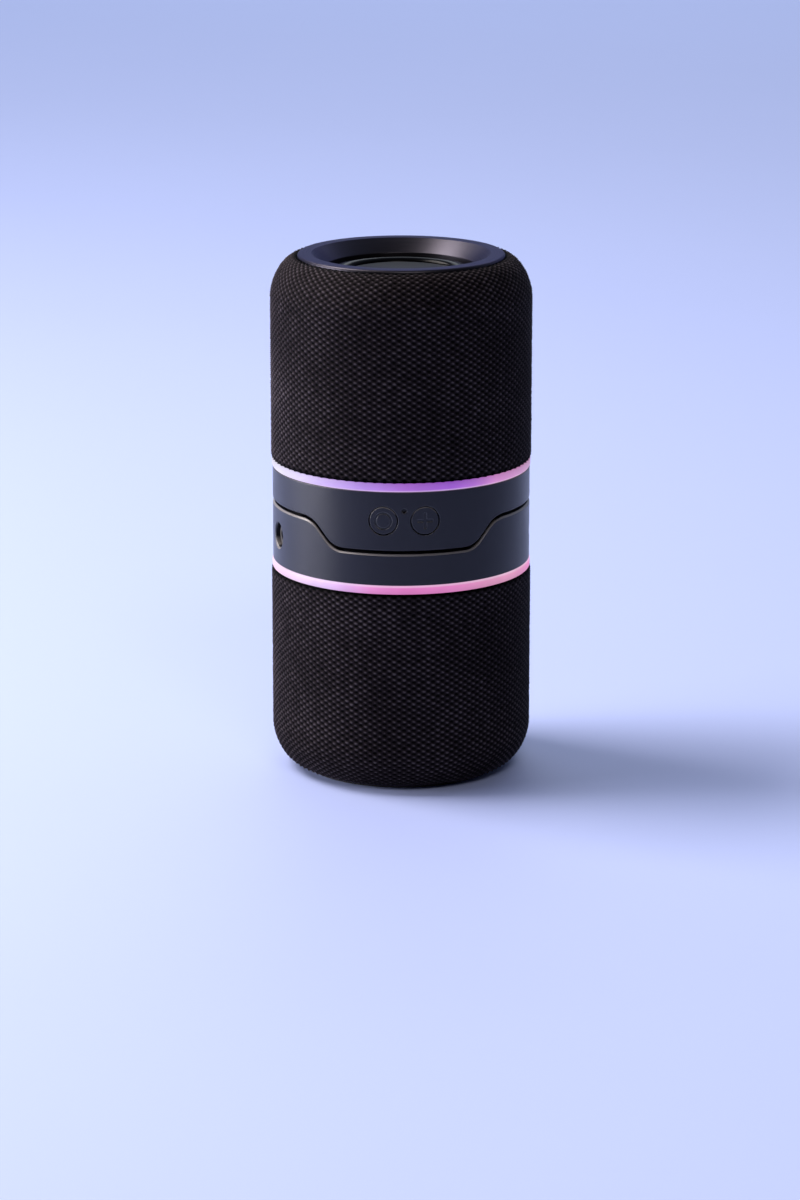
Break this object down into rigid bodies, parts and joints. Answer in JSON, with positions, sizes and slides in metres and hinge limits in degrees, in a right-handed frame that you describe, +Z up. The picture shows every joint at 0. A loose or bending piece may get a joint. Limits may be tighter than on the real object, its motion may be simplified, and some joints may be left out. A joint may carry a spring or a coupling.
{
  "type": "portable speaker",
  "caption": "Cylindrical portable speaker of two units docked end to end, with knitted sleeves, glowing rings, a stepped seam, buttons and end radiators.",
  "frame": {"origin": "on the cylinder's axis, on the surface that the foot ring stands on", "axes": "+Z up along the cylinder, -Y towards the front with the upper unit's buttons, +X towards the lower unit's charging socket"},
  "size_m": [0.08, 0.08, 0.16],
  "materials": {
    "anodised_rim": "satin, lathe-turned, dark anodised",
    "glossy_rubber": "glossy",
    "radiator_satin": "satin, dark",
    "inner_plastic": "matte black",
    "screw_steel": "zinc plated",
    "knit_fabric": "open warp-knit mesh, near black",
    "pressed_steel": "black electrocoat",
    "magnet_ferrite": "sintered grey",
    "copper_coil": "enamelled copper",
    "cone_paper": "pressed pulp, black",
    "circuit_board": "green solder mask",
    "battery_wrap": "foil pouch",
    "band_satin": "satin slate blue-grey with fine texture",
    "docking_plastic": "matte black",
    "magnet_nickel": "nickel plated",
    "switch_black": "matte black",
    "status_lens": "smoked clear",
    "socket_steel": "drawn steel",
    "foot_rubber": "matte",
    "light_diffuser_upper": "frosted clear, lit white to violet to pink",
    "light_diffuser_lower": "frosted clear, lit pink to white"
  },
  "bodies": {
    "lower_unit": {"rim_ring_lower": "anodised_rim", "radiator_surround_lower": "glossy_rubber", "radiator_frame_lower": "inner_plastic", "rim_screws_lower": "screw_steel", "fabric_sleeve_lower": "knit_fabric", "grille_shell_lower": "inner_plastic", "enclosure_lower": "inner_plastic", "driver_basket_lower": "pressed_steel", "driver_magnet_lower": "magnet_ferrite", "driver_yoke_lower": "pressed_steel", "driver_surround_lower": "glossy_rubber", "light_ring_lower": "light_diffuser_lower", "led_strip_lower": "circuit_board", "battery_lower": "battery_wrap", "main_board_lower": "circuit_board", "band_shell_lower": "band_satin", "docking_plate_lower": "docking_plastic", "docking_magnets_lower": "magnet_nickel", "button_board_lower": "circuit_board", "tact_switches_lower": "switch_black", "status_light_lower": "status_lens", "usb_socket_lower": "socket_steel", "foot_ring": "foot_rubber", "aux_jack": "switch_black"},
    "radiator_lower": {"radiator_plate_lower": "radiator_satin"},
    "driver_lower": {"voice_coil_lower": "copper_coil", "driver_cone_lower": "cone_paper", "dust_cap_lower": "cone_paper"},
    "circle_button_lower": {"circle_button_lower": "band_satin"},
    "plus_button_lower": {"plus_button_lower": "band_satin"},
    "upper_unit": {"rim_ring_upper": "anodised_rim", "radiator_surround_upper": "glossy_rubber", "radiator_frame_upper": "inner_plastic", "rim_screws_upper": "screw_steel", "fabric_sleeve_upper": "knit_fabric", "grille_shell_upper": "inner_plastic", "enclosure_upper": "inner_plastic", "driver_basket_upper": "pressed_steel", "driver_magnet_upper": "magnet_ferrite", "driver_yoke_upper": "pressed_steel", "driver_surround_upper": "glossy_rubber", "light_ring_upper": "light_diffuser_upper", "led_strip_upper": "circuit_board", "battery_upper": "battery_wrap", "main_board_upper": "circuit_board", "band_shell_upper": "band_satin", "docking_plate_upper": "docking_plastic", "docking_magnets_upper": "magnet_nickel", "button_board_upper": "circuit_board", "tact_switches_upper": "switch_black", "status_light_upper": "status_lens", "usb_socket_upper": "socket_steel"},
    "radiator_upper": {"radiator_plate_upper": "radiator_satin"},
    "driver_upper": {"voice_coil_upper": "copper_coil", "driver_cone_upper": "cone_paper", "dust_cap_upper": "cone_paper"},
    "circle_button_upper": {"circle_button_upper": "band_satin"},
    "plus_button_upper": {"plus_button_upper": "band_satin"}
  },
  "joints": [
    {"name": "unit_separation", "type": "slide", "parent": "lower_unit", "child": "upper_unit", "axis": [0, 0, 1], "range_m": [0, 0.09]},
    {"name": "radiator_lower_travel", "type": "slide", "parent": "lower_unit", "child": "radiator_lower", "axis": [0, 0, -1], "range_m": [-0.0025, 0.0025], "stiffness_N_per_m": 900, "deforming": ["radiator_surround_lower"]},
    {"name": "driver_lower_travel", "type": "slide", "parent": "lower_unit", "child": "driver_lower", "axis": [0, -1, 0], "range_m": [-0.0015, 0.0015], "stiffness_N_per_m": 900, "deforming": ["driver_surround_lower"]},
    {"name": "circle_button_lower_press", "type": "slide", "parent": "lower_unit", "child": "circle_button_lower", "axis": [-0.1592, -0.9872, 0], "range_m": [0, 0.0004], "stiffness_N_per_m": 400},
    {"name": "plus_button_lower_press", "type": "slide", "parent": "lower_unit", "child": "plus_button_lower", "axis": [0.1592, -0.9872, 0], "range_m": [0, 0.0004], "stiffness_N_per_m": 400},
    {"name": "radiator_upper_travel", "type": "slide", "parent": "upper_unit", "child": "radiator_upper", "axis": [0, 0, 1], "range_m": [-0.0025, 0.0025], "stiffness_N_per_m": 900, "deforming": ["radiator_surround_upper"]},
    {"name": "driver_upper_travel", "type": "slide", "parent": "upper_unit", "child": "driver_upper", "axis": [0, -1, 0], "range_m": [-0.0015, 0.0015], "stiffness_N_per_m": 900, "deforming": ["driver_surround_upper"]},
    {"name": "circle_button_upper_press", "type": "slide", "parent": "upper_unit", "child": "circle_button_upper", "axis": [0.1592, 0.9872, 0], "range_m": [0, 0.0004], "stiffness_N_per_m": 400},
    {"name": "plus_button_upper_press", "type": "slide", "parent": "upper_unit", "child": "plus_button_upper", "axis": [-0.1592, 0.9872, 0], "range_m": [0, 0.0004], "stiffness_N_per_m": 400}
  ]
}
